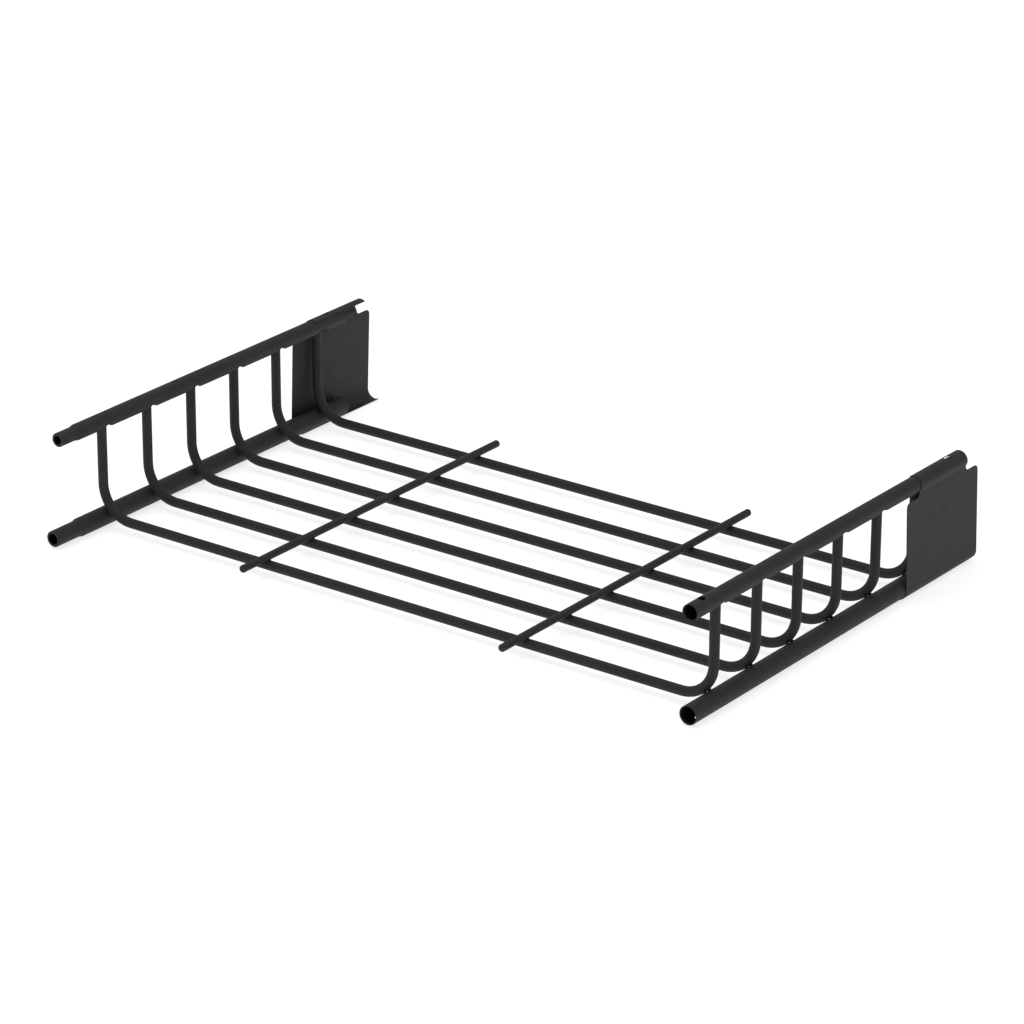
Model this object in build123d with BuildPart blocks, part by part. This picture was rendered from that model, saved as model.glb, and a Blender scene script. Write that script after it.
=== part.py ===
from build123d import *
import os
from math import acos, cos, degrees, radians, sin

# Add-on section of a steel roof cargo basket. Six bent bars make the floor and the side
# uprights, two stringers tie the floor, four tube rails run along the sides, and a
# sheet plate hooks over both rails of each side where the next section joins on.
# X is across the vehicle, +Y runs along the rails towards the side plates, +Z is up.
# The origin is the bottom centre of the whole section. Millimetres throughout.

# ---------------------------------------------------------------- driving dimensions
bar_pitch = 85.5            # spacing of the bent bars along the rails
bar_count = 6
bar_radius = 6.25
bar_wall = 1.2
upright_x = 458.3           # bar uprights and rails share this distance from the middle
bend_radius = 43.9          # the bend passes inside the lower rail and touches it
touch_angle = 45.0          # where round the bend that is, in degrees
seat_bite = 0.4             # extra length of an upright, cut back to the pressed seat

stringer_radius = 4.8
stringer_x = 194.7
stringer_bite = 0.2         # how far the pressed weld sinks a stringer into the floor bars
stringer_overhang = 50.0    # past the first bar
stringer_far_overhang = 42.3
stringer_nose = 2.2         # rounding of the cut ends

top_rail_radius = 10.5
lower_rail_radius = 11.95
rail_wall = 1.7
top_rail_rise = 126.3       # top rail axis above the axis of the floor bars
lower_rail_drop = 0.5       # lower rail axis below the axis of the floor bars
socket_overhang = 51.0      # plain end of a rail past its nearest bar
shoulder_overhang = 48.1    # full diameter stops here at the swaged end
swage_taper = 6.2           # length of the cone down to the spigot
spigot_slack = 0.15         # radial gap of a spigot in the next section's socket
spigot_wall = 1.9           # the swaging thickens the wall
spigot_nose = 0.9           # chamfer of the spigot's tip
spigot_lip = 1.4            # how far the rolled-in tip narrows the spigot's bore
spigot_lip_depth = 2.5
socket_ream = 0.45          # the plain end is bored out by this much of its radius
top_socket_depth = 32.0
lower_socket_depth = 46.0
top_spigot_overhang = 81.7
lower_spigot_overhang = 96.2
bolt_hole_radius = 4.6
bolt_hole_inset = 22.0      # from the plain end of a rail

saddle_radius = 21.2        # pressed seat under the top rail at each upright
saddle_depth = 7.25

# The two side plates are one part, turned half a turn to suit either side. Distances
# along a plate start at the end where its rolled tab has a slanted edge.
plate_sheet = 0.9
plate_length = 162.2
plate_far = 557.7           # far end of the right plate, along Y from the first bar
plate_stagger = 7.2         # the left plate stops this much short of the right one
plate_lean = 1.8            # degrees, foot outwards
plate_gap = 0.1             # slip clearance between the sheet and both rails
roll_wrap = 127.0           # degrees from straight outwards, over the top rail
curl_wrap = 120.0           # degrees from straight outwards, under the lower rail
joggle_radius = 3.5         # reverse bend between the roll and the wall
plate_corner = 7.0
notch_fillet = 6.5
plate_hole_radius = 5.0
plate_hole_along = 104.6
tab_start = 27.0
tab_slant = 2.3             # how far the slanted edge draws in by the crest of the roll
tab_end = 134.0
notch_drop = 13.4           # cut edge of the wall below the top rail's axis

weld_leg = 2.6              # size of the fillet welds
weld_offset = 4.5           # beads lie this far to each side of a bar's middle
seat_weld_leg = 1.3
seat_weld_depth = 2.4
seat_weld_height = 4.0
seat_weld_taper = 18.0      # degrees
stringer_weld_radius = 3.6
stringer_weld_depth = 2.6

cut_clear = 1.0             # how far a cutter runs past the faces that it opens

# ---------------------------------------------------------------- derived places
roll_radius = top_rail_radius + plate_gap
curl_radius = lower_rail_radius + plate_gap
floor_z = curl_radius + plate_sheet + lower_rail_drop
top_rail_z = floor_z + top_rail_rise
lower_rail_z = floor_z - lower_rail_drop
first_bar_y = -(plate_far - lower_spigot_overhang) / 2
bar_run = (bar_count - 1) * bar_pitch
middle_bar_y = first_bar_y + bar_run / 2
bar_ys = [first_bar_y + i * bar_pitch for i in range(bar_count)]
stringer_z = floor_z + bar_radius + stringer_radius - stringer_bite
saddle_crown = top_rail_radius - saddle_depth

SIDES = {"left": -1, "right": 1}
# The swaged end of the left rails points to -Y and that of the right rails to +Y.
RAIL_HEADING = {"left": 1, "right": -1}
# Middle of each side plate.
PLATE_Y = {
    "left": first_bar_y + plate_far - plate_stagger - plate_length / 2,
    "right": first_bar_y + plate_far - plate_length / 2,
}

os.makedirs("parts", exist_ok=True)


def save(part, name):
    part.label = name
    export_step(part, f"parts/{name}.step")


# ---------------------------------------------------------------- rails
def turned(x, z, heading, outline):
    """Solid of revolution about a rail's axis; outline is (distance along, radius)."""
    with BuildPart() as body:
        with BuildSketch(Plane(origin=(x, middle_bar_y, z), x_dir=(0, heading, 0), z_dir=(1, 0, 0))):
            with BuildLine():
                Polyline([(outline[0][0], 0)] + outline + [(outline[-1][0], 0)], close=True)
            make_face()
        revolve(axis=Axis((x, middle_bar_y, z), (0, 1, 0)))
    return body.part


def saddles(x, radius):
    """The row of presser noses that dish the top rail from below, one under each upright."""
    centre_z = top_rail_z - saddle_crown - saddle_radius
    with BuildPart() as noses:
        for y in bar_ys:
            with BuildSketch(Plane.YZ.offset(x - 2 * top_rail_radius)):
                with Locations((y, centre_z)):
                    Circle(radius)
            extrude(amount=4 * top_rail_radius)
    return noses.part


def rail_outline(radius, spigot_radius, spigot_overhang, beyond):
    """Stepped outline of a rail, spigot first; beyond lengthens both ends for a clean bore."""
    half = bar_run / 2
    return [
        (-half - spigot_overhang - beyond, spigot_radius),
        (-half - shoulder_overhang - swage_taper, spigot_radius),
        (-half - shoulder_overhang, radius),
        (half + socket_overhang + beyond, radius),
    ]


def spigot_radius_of(rail_radius):
    return rail_radius - rail_wall + socket_ream - spigot_slack


def rail_envelope(x, z, heading, radius, spigot_overhang):
    """The rail's outer shape as a solid bar."""
    spigot_radius = spigot_radius_of(radius)
    outline = rail_outline(radius, spigot_radius, spigot_overhang, 0)
    tip = outline[0][0]
    nose = [(tip, spigot_radius - spigot_nose), (tip + spigot_nose, spigot_radius)]
    return turned(x, z, heading, nose + outline[1:])


def rail_bore(x, z, heading, radius, spigot_overhang, socket_depth):
    """The rail's bore, narrowed at the spigot's tip and bored out at the plain end."""
    inner = radius - rail_wall
    spigot_inner = spigot_radius_of(radius) - spigot_wall
    outline = rail_outline(inner, spigot_inner, spigot_overhang, cut_clear)
    lip_end = -bar_run / 2 - spigot_overhang + spigot_lip_depth
    lip_radius = spigot_inner - spigot_lip
    lip = [(outline[0][0], lip_radius), (lip_end, lip_radius), (lip_end, spigot_inner)]
    step = bar_run / 2 + socket_overhang - socket_depth
    socket = [(step, inner), (step, inner + socket_ream), (outline[-1][0], inner + socket_ream)]
    return turned(x, z, heading, lip + outline[1:-1] + socket)


def top_rail_bar(x, heading):
    """Top rail as a solid bar with its pressed seats."""
    bar = rail_envelope(x, top_rail_z, heading, top_rail_radius, top_spigot_overhang)
    noses = saddles(x, saddle_radius)
    with BuildPart() as body:
        add(bar)
        add(noses, mode=Mode.SUBTRACT)
    return body.part


def make_top_rail(name, x, heading):
    bar = top_rail_bar(x, heading)
    bore = rail_bore(
        x, top_rail_z, heading, top_rail_radius, top_spigot_overhang, top_socket_depth
    )
    noses = saddles(x, saddle_radius + rail_wall)
    with BuildPart() as hollow:
        add(bore)
        add(noses, mode=Mode.SUBTRACT)
    hole_y = middle_bar_y + heading * (bar_run / 2 + socket_overhang - bolt_hole_inset)
    with BuildPart() as top_rail:
        add(bar)
        add(hollow.part, mode=Mode.SUBTRACT)
        with BuildSketch(Plane.XY.offset(top_rail_z)):
            with Locations((x, hole_y)):
                Circle(bolt_hole_radius)
        extrude(amount=2 * top_rail_radius, mode=Mode.SUBTRACT)
    save(top_rail.part, name)
    return bar


def make_lower_rail(name, x, heading):
    bar = rail_envelope(x, lower_rail_z, heading, lower_rail_radius, lower_spigot_overhang)
    bore = rail_bore(
        x, lower_rail_z, heading, lower_rail_radius, lower_spigot_overhang, lower_socket_depth
    )
    hole_y = middle_bar_y + heading * (bar_run / 2 + socket_overhang - bolt_hole_inset)
    with BuildPart() as lower_rail:
        add(bar)
        add(bore, mode=Mode.SUBTRACT)
        with BuildSketch(Plane.XY.offset(lower_rail_z)):
            with Locations((x, hole_y)):
                Circle(bolt_hole_radius)
        extrude(amount=-2 * lower_rail_radius, mode=Mode.SUBTRACT)
    save(lower_rail.part, name)
    return bar


top_bars = {}
lower_bars = {}
for side, sign in SIDES.items():
    top_bars[side] = make_top_rail(f"top_rail_{side}", sign * upright_x, RAIL_HEADING[side])
    lower_bars[side] = make_lower_rail(f"lower_rail_{side}", sign * upright_x, RAIL_HEADING[side])


# ---------------------------------------------------------------- bent bars
def bent_bar(y, radius):
    """One bar: up the left side, across the floor and up the right side."""
    end_z = top_rail_z - saddle_crown + seat_bite
    corners = [(-upright_x, end_z), (-upright_x, floor_z), (upright_x, floor_z), (upright_x, end_z)]
    with BuildPart() as body:
        with BuildLine(Plane.XZ.offset(-y)) as route:
            FilletPolyline(corners, radius=bend_radius)
        with BuildSketch(Plane(origin=(-upright_x, y, end_z), z_dir=(0, 0, -1))):
            Circle(radius)
        sweep(path=route.wires()[0])
    return body.part


def make_u_bar(name, y):
    skin = bent_bar(y, bar_radius)
    bore = bent_bar(y, bar_radius - bar_wall)
    with BuildPart() as u_bar:
        add(skin)
        add(bore, mode=Mode.SUBTRACT)
        for side in SIDES:
            add(top_bars[side], mode=Mode.SUBTRACT)
    save(u_bar.part, name)
    return skin


bar_skins = [make_u_bar(f"u_bar_{i + 1}", y) for i, y in enumerate(bar_ys)]


# ---------------------------------------------------------------- stringers
def stringer_solid(x):
    near_y = first_bar_y - stringer_overhang
    length = stringer_overhang + bar_run + stringer_far_overhang
    with BuildPart() as rod:
        with BuildSketch(Plane.XZ.offset(-near_y)):
            with Locations((x, stringer_z)):
                Circle(stringer_radius)
        extrude(amount=-length)
        fillet(rod.edges().filter_by(GeomType.CIRCLE), stringer_nose)
    return rod.part


def floor_bars(radius):
    """The straight floor runs of all the bars, as plain rods."""
    reach = stringer_x + bend_radius
    with BuildPart() as rods:
        for y in bar_ys:
            with BuildSketch(Plane.YZ.offset(-reach)):
                with Locations((y, floor_z)):
                    Circle(radius)
            extrude(amount=2 * reach)
    return rods.part


floor_rods = floor_bars(bar_radius)
stringers = {}
for side, sign in SIDES.items():
    stringers[side] = stringer_solid(sign * stringer_x)
    with BuildPart() as stringer:
        add(stringers[side])
        add(floor_rods, mode=Mode.SUBTRACT)
    save(stringer.part, f"floor_stringer_{side}")


# ---------------------------------------------------------------- side plates
def plate_section():
    """Roll over the top rail, reverse bend, wall, curl under the lower rail; outwards is +X."""
    roll_middle = roll_radius + plate_sheet / 2
    curl_middle = curl_radius + plate_sheet / 2
    wall_offset = curl_middle - (top_rail_z - lower_rail_z) * sin(radians(plate_lean))
    reach = roll_middle + joggle_radius
    turn = degrees(acos((wall_offset + joggle_radius) / reach))
    leave = plate_lean - turn
    joggle_centre = (reach * cos(radians(leave)), top_rail_z + reach * sin(radians(leave)))
    with BuildSketch() as section:
        with BuildLine():
            CenterArc((0, top_rail_z), roll_middle, roll_wrap, leave - roll_wrap)
            joggle = CenterArc(joggle_centre, joggle_radius, leave + 180, turn)
            curl = CenterArc((0, lower_rail_z), curl_middle, plate_lean, -plate_lean - curl_wrap)
            Line(joggle @ 1, curl @ 0)
        trace(line_width=plate_sheet)
    return section.sketch


def plate_outline(side):
    """Side view of the plate: the wall, and the narrower tab that is rolled."""
    slanted_end = PLATE_Y[side] - SIDES[side] * plate_length / 2
    below = -lower_rail_radius
    wall_top = top_rail_z - notch_drop
    above = top_rail_z + roll_radius + 2 * plate_sheet
    corners = [
        (0, below),
        (0, wall_top),
        (tab_start, wall_top),
        (tab_start + tab_slant, above),
        (tab_end, above),
        (tab_end, wall_top),
        (plate_length, wall_top),
        (plate_length, below),
    ]
    with BuildSketch() as outline:
        with BuildLine():
            Polyline([(slanted_end + SIDES[side] * along, z) for along, z in corners], close=True)
        make_face()
        shoulder_band = (Axis.Y, wall_top - cut_clear, wall_top + cut_clear)
        shoulders = outline.vertices().filter_by_position(*shoulder_band).sort_by(Axis.X)
        fillet(shoulders[1:3], notch_fillet)
        shoulders = outline.vertices().filter_by_position(*shoulder_band).sort_by(Axis.X)
        fillet([shoulders[0], shoulders[-1]], plate_corner)
    return outline.sketch


def make_side_plate(side, sign):
    near_end = Plane(
        origin=(sign * upright_x, PLATE_Y[side] - plate_length / 2, 0),
        x_dir=(sign, 0, 0),
        z_dir=(0, -sign, 0),
    )
    hole_y = PLATE_Y[side] + sign * (plate_hole_along - plate_length / 2)
    with BuildPart() as plate:
        with BuildSketch(near_end):
            add(plate_section())
        extrude(amount=-sign * plate_length)
        with BuildSketch(Plane.YZ):
            add(plate_outline(side))
        extrude(amount=2 * upright_x, both=True, mode=Mode.INTERSECT)
        with BuildSketch(Plane.XY.offset(top_rail_z)):
            with Locations((sign * upright_x, hole_y)):
                Circle(plate_hole_radius)
        extrude(amount=2 * top_rail_radius, mode=Mode.SUBTRACT)
    save(plate.part, f"side_plate_{side}")


for side, sign in SIDES.items():
    make_side_plate(side, sign)


# ---------------------------------------------------------------- welds
def make_rail_welds(side, sign):
    """Two short beads per bar, in the crevices where its bend touches the lower rail."""
    corner_x = bend_radius * (1 - cos(radians(touch_angle)))
    corner_z = bend_radius * (1 - sin(radians(touch_angle)))
    touch_x = sign * (upright_x - corner_x + bar_radius * cos(radians(touch_angle)))
    touch_z = floor_z + corner_z - bar_radius * sin(radians(touch_angle))
    with BuildPart() as beads:
        for y in bar_ys:
            with Locations(
                (touch_x, y - weld_offset, touch_z),
                (touch_x, y + weld_offset, touch_z),
            ):
                Sphere(weld_leg)
        add(lower_bars[side], mode=Mode.SUBTRACT)
        for skin in bar_skins:
            add(skin, mode=Mode.SUBTRACT)
    save(beads.part, f"lower_rail_welds_{side}")


def make_seat_welds(side, sign):
    """A bead around the top of each upright, where it sits in the top rail's pressed seat."""
    with BuildPart() as beads:
        with BuildSketch(Plane.XY.offset(top_rail_z - saddle_crown - seat_weld_depth)):
            with Locations([(sign * upright_x, y) for y in bar_ys]):
                Circle(bar_radius + seat_weld_leg)
        extrude(amount=seat_weld_height, taper=seat_weld_taper)
        add(top_bars[side], mode=Mode.SUBTRACT)
        for skin in bar_skins:
            add(skin, mode=Mode.SUBTRACT)
    save(beads.part, f"seat_welds_{side}")


def make_stringer_welds(side, sign):
    """A ring of squeezed-out metal at each crossing of a stringer and a floor bar."""
    crossing_z = floor_z + bar_radius - stringer_bite
    with BuildPart() as rings:
        with BuildSketch(Plane.XY.offset(crossing_z - stringer_weld_depth / 2)):
            with Locations([(sign * stringer_x, y) for y in bar_ys]):
                Circle(stringer_weld_radius)
        extrude(amount=stringer_weld_depth)
        add(stringers[side], mode=Mode.SUBTRACT)
        add(floor_rods, mode=Mode.SUBTRACT)
    save(rings.part, f"stringer_welds_{side}")


for side, sign in SIDES.items():
    make_rail_welds(side, sign)
    make_seat_welds(side, sign)
    make_stringer_welds(side, sign)
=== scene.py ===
import math

import bpy
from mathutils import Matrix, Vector


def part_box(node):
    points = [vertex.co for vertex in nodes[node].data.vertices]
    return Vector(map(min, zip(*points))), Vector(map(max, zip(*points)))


# Looks of the roof basket section: satin black powder coat over welded tube, a plain
# pale floor, and soft light from all round. Metres, in the same frame as the CAD.

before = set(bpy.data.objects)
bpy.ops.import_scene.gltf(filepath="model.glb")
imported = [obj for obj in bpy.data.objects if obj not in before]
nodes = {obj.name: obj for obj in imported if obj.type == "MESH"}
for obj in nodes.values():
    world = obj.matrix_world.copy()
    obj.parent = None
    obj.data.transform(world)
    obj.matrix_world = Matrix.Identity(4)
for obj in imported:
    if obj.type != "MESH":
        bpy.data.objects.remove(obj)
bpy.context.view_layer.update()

first_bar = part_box("u_bar_1")
last_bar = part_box("u_bar_6")
bar_run = (last_bar[0].y + last_bar[1].y - first_bar[0].y - first_bar[1].y) / 2
middle_y = (last_bar[0].y + first_bar[1].y) / 2
rail_x = sum(corner.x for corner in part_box("top_rail_right")) / 2

SADDLE_REACH = 0.018    # half length of the pressed seat under the first upright
SHOULDER = 0.0481       # full diameter stops this far past the nearest bar
RUB_START = 0.056       # rub marks fade in between these, past the nearest bar
RUB_FULL = 0.060
BORE_MARGIN = 0.0002    # how far past the bore's wall the painted bore shade reaches
TIP_MARGIN = 0.0005     # the coat wraps this far over the spigot's tip
EDGE_SOFTNESS = 0.0005  # radius that cut edges seem to have under the coat

# ---------------------------------------------------------------- camera
CAMERA_PLACE = (3.0439, -4.14845, 2.17925)
CAMERA_TURN = 36.882        # degrees round from +Y
CAMERA_DIP = 22.544         # degrees below level

camera_data = bpy.data.cameras.new("camera")
camera_data.sensor_width = 36.0
camera_data.lens = 159.34
camera_data.shift_x = 0.04644
camera_data.shift_y = 0.00854
camera_data.clip_end = 100.0
camera = bpy.data.objects.new("camera", camera_data)
camera.location = CAMERA_PLACE
camera.rotation_euler = (math.radians(90 - CAMERA_DIP), 0.0, math.radians(CAMERA_TURN))
bpy.context.scene.collection.objects.link(camera)
bpy.context.scene.camera = camera


# ---------------------------------------------------------------- materials
CHARCOAL = (0.0235, 0.0235, 0.0238)
# Weld beads at half the coat's tone: painted shade in the welded joints.
BEAD_PAINTED_SHADE = (0.0100, 0.0100, 0.0102)
# Near-black painted shade for the insides of the rail bores.
BORE_PAINTED_SHADE = (0.0026, 0.0024, 0.0023)


class Tree:
    """Short names for building a material's nodes."""

    def __init__(self, name):
        self.material = bpy.data.materials.new(name)
        self.material.use_nodes = True
        self.nodes = self.material.node_tree.nodes
        self.links = self.material.node_tree.links
        self.shader = self.nodes["Principled BSDF"]
        self.place = self.node("ShaderNodeTexCoord").outputs["Object"]

    def node(self, kind, **settings):
        made = self.nodes.new(kind)
        for key, value in settings.items():
            setattr(made, key, value)
        return made

    def feed(self, socket, value):
        if isinstance(value, bpy.types.NodeSocket):
            self.links.new(value, socket)
        else:
            socket.default_value = value

    def noise(self, scale, detail=2.0, rough=0.5, place=None):
        made = self.node("ShaderNodeTexNoise")
        self.feed(made.inputs["Vector"], place or self.place)
        self.feed(made.inputs["Scale"], scale)
        self.feed(made.inputs["Detail"], detail)
        self.feed(made.inputs["Roughness"], rough)
        return made.outputs["Fac"]

    def stretched(self, along_x, along_y, along_z):
        made = self.node("ShaderNodeMapping")
        self.feed(made.inputs["Vector"], self.place)
        made.inputs["Scale"].default_value = (along_x, along_y, along_z)
        return made.outputs["Vector"]

    def math(self, operation, a, b=0.0):
        made = self.node("ShaderNodeMath", operation=operation)
        self.feed(made.inputs[0], a)
        self.feed(made.inputs[1], b)
        return made.outputs[0]

    def span(self, value, low, high, to_low, to_high):
        made = self.node("ShaderNodeMapRange")
        for socket, amount in zip(made.inputs, (value, low, high, to_low, to_high)):
            self.feed(socket, amount)
        return made.outputs[0]

    def mix(self, factor, a, b):
        made = self.node("ShaderNodeMix", data_type="RGBA")
        self.feed(made.inputs[0], factor)
        self.feed(made.inputs[6], a)
        self.feed(made.inputs[7], b)
        return made.outputs[2]

    def bump(self, height, strength, distance, normal=None):
        made = self.node("ShaderNodeBump")
        self.feed(made.inputs["Height"], height)
        self.feed(made.inputs["Strength"], strength)
        self.feed(made.inputs["Distance"], distance)
        if normal is not None:
            self.feed(made.inputs["Normal"], normal)
        return made.outputs["Normal"]


def shade(tone, amount):
    return tuple(channel * amount for channel in tone) + (1.0,)


def powder_coat(name, tone, roughness, cut_edges=True, ripple=False):
    """Satin powder coat: cloudy tone, orange peel, fine grain and softened edges."""
    tree = Tree(name)
    clouds = tree.span(tree.noise(14.0, 3.0), 0.35, 0.65, 0.0, 1.0)
    colour = tree.mix(clouds, shade(tone, 0.95), shade(tone, 1.05))
    specks = tree.span(tree.noise(1500.0, 1.0), 0.62, 0.74, 0.0, 0.55)
    colour = tree.mix(specks, colour, shade(tone, 1.9))

    # Faint handling scuffs, a few millimetres long, that polish the coat a little.
    scuff_grain = tree.noise(1.0, 2.0, 0.6, tree.stretched(700.0, 90.0, 700.0))
    scuff_patch = tree.span(tree.noise(9.0, 2.0), 0.52, 0.66, 0.0, 1.0)
    scuffs = tree.math("MULTIPLY", tree.span(scuff_grain, 0.58, 0.68, 0.0, 1.0), scuff_patch)
    colour = tree.mix(tree.math("MULTIPLY", scuffs, 0.35), colour, shade(tone, 1.6))
    gloss = tree.span(tree.noise(70.0, 4.0), 0.3, 0.7, roughness - 0.03, roughness + 0.03)
    gloss = tree.math("SUBTRACT", gloss, tree.math("MULTIPLY", scuffs, 0.04))

    normal = None
    if cut_edges:
        edge = tree.node("ShaderNodeBevel", samples=4)
        edge.inputs["Radius"].default_value = EDGE_SOFTNESS
        normal = edge.outputs["Normal"]
    if ripple:
        waves = tree.node("ShaderNodeTexWave", bands_direction="Y")
        tree.feed(waves.inputs["Vector"], tree.place)
        waves.inputs["Scale"].default_value = 160.0
        waves.inputs["Distortion"].default_value = 2.5
        waves.inputs["Detail"].default_value = 1.0
        normal = tree.bump(waves.outputs["Fac"], 0.7, 0.0005, normal)
    normal = tree.bump(tree.noise(620.0, 1.0), 0.30, 0.00022, normal)
    normal = tree.bump(tree.noise(2600.0, 2.0), 0.35, 0.00006, normal)

    tree.feed(tree.shader.inputs["Base Color"], colour)
    tree.feed(tree.shader.inputs["Roughness"], gloss)
    tree.feed(tree.shader.inputs["Normal"], normal)
    tree.shader.inputs["Specular IOR Level"].default_value = 0.16
    tree.shader.inputs["Metallic"].default_value = 0.0
    return tree


def rail_coat(name, tone, roughness, node, bore, spigot_bore, spigot_tip):
    """Powder coat outside and over the tips, and near-black painted shade inside the bores."""
    tree = powder_coat(name, tone, roughness)
    low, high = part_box(node)
    axis_z = (low.z + high.z) / 2
    parts = tree.node("ShaderNodeSeparateXYZ")
    tree.feed(parts.inputs[0], tree.place)
    across = tree.math("SUBTRACT", tree.math("ABSOLUTE", parts.outputs["X"]), rail_x)
    up = tree.math("SUBTRACT", parts.outputs["Z"], axis_z)
    squares = tree.math("ADD", tree.math("POWER", across, 2.0), tree.math("POWER", up, 2.0))
    radius = tree.math("SQRT", squares)
    along = tree.math("ABSOLUTE", tree.math("SUBTRACT", parts.outputs["Y"], middle_y))

    past_saddles = tree.math("GREATER_THAN", along, bar_run / 2 + SADDLE_REACH)
    in_spigot = tree.math("GREATER_THAN", along, bar_run / 2 + SHOULDER)
    bore_edge = tree.span(in_spigot, 0.0, 1.0, bore + BORE_MARGIN, spigot_bore + BORE_MARGIN)
    inside = tree.math("MULTIPLY", tree.math("LESS_THAN", radius, bore_edge), past_saddles)
    short_of_tip = tree.math("LESS_THAN", along, bar_run / 2 + spigot_tip - TIP_MARGIN)
    inside = tree.math("MULTIPLY", inside, short_of_tip)

    # Rub marks along the spigots, from trial fits into the next section's rails.
    past_cone = tree.span(along, bar_run / 2 + RUB_START, bar_run / 2 + RUB_FULL, 0.0, 1.0)
    streak_grain = tree.noise(1.0, 3.0, 0.6, tree.stretched(900.0, 35.0, 900.0))
    streaks = tree.span(streak_grain, 0.5, 0.7, 0.0, 0.6)
    rubbed = tree.math("MULTIPLY", tree.math("MULTIPLY", past_cone, streaks), 0.5)

    coat = tree.shader.inputs["Base Color"].links[0].from_socket
    worn = tree.mix(rubbed, coat, shade(tone, 3.0))
    # Painted shade: the insides of the bores are coloured near-black.
    scale = shade(BORE_PAINTED_SHADE, 1.0)
    tree.feed(tree.shader.inputs["Base Color"], tree.mix(inside, worn, scale))
    gloss = tree.shader.inputs["Roughness"].links[0].from_socket
    polished = tree.math("SUBTRACT", gloss, tree.math("MULTIPLY", rubbed, 0.2))
    tree.feed(tree.shader.inputs["Roughness"], tree.math("MAXIMUM", polished, inside))
    return tree


bars = powder_coat("bars_black", CHARCOAL, 0.60, cut_edges=False)
plates = powder_coat("plates_black", CHARCOAL, 0.58)
# The welds' darker tone is painted shade in the joints between parts.
welds = powder_coat("welds_black", BEAD_PAINTED_SHADE, 0.62, cut_edges=False, ripple=True)
top_rails = rail_coat("top_rails_black", CHARCOAL, 0.58, "top_rail_left", 0.00925, 0.0072, 0.0817)
lower_rails = rail_coat("lower_rails_black", CHARCOAL, 0.58, "lower_rail_left", 0.0107, 0.00865, 0.0962)


def coat_of(node):
    if "welds" in node:
        return welds
    if node.startswith("side_plate"):
        return plates
    if node.startswith("top_rail"):
        return top_rails
    if node.startswith("lower_rail"):
        return lower_rails
    return bars


for node, piece in nodes.items():
    piece.data.materials.clear()
    piece.data.materials.append(coat_of(node).material)

# ---------------------------------------------------------------- floor and light
FLOOR_HALF = 14.0
FLOOR_Z = -0.0005           # just under the side plates' curls

corners = [(-1, -1), (1, -1), (1, 1), (-1, 1)]
floor_mesh = bpy.data.meshes.new("floor")
floor_mesh.from_pydata(
    [(x * FLOOR_HALF, y * FLOOR_HALF, FLOOR_Z) for x, y in corners],
    [],
    [(0, 1, 2, 3)],
)
floor = bpy.data.objects.new("floor", floor_mesh)
bpy.context.scene.collection.objects.link(floor)
paper = Tree("floor_paper")
paper.shader.inputs["Base Color"].default_value = (0.5, 0.5, 0.5, 1.0)
paper.shader.inputs["Roughness"].default_value = 0.9
paper.shader.inputs["Specular IOR Level"].default_value = 0.1
paper.shader.inputs["Emission Color"].default_value = (1.0, 1.0, 1.0, 1.0)
paper.shader.inputs["Emission Strength"].default_value = 0.72
floor.data.materials.append(paper.material)

world = bpy.data.worlds.new("world")
world.use_nodes = True
sky = world.node_tree.nodes["Background"]
sky.inputs["Color"].default_value = (1.0, 1.0, 1.0, 1.0)
sky.inputs["Strength"].default_value = 0.62
bpy.context.scene.world = world


def softbox(name, place, size, power):
    """A large square light that faces the basket."""
    data = bpy.data.lights.new(name, "AREA")
    data.shape = "SQUARE"
    data.size = size
    data.energy = power
    lamp = bpy.data.objects.new(name, data)
    lamp.location = place
    aim = Vector((0.0, 0.0, 0.05)) - Vector(place)
    lamp.rotation_euler = aim.to_track_quat("-Z", "Y").to_euler()
    bpy.context.scene.collection.objects.link(lamp)


softbox("overhead_softbox", (-0.6, 0.4, 4.5), 4.5, 60.0)
softbox("front_softbox", (3.5, -2.0, 3.0), 3.0, 5.0)

bpy.context.scene.view_settings.view_transform = "Standard"
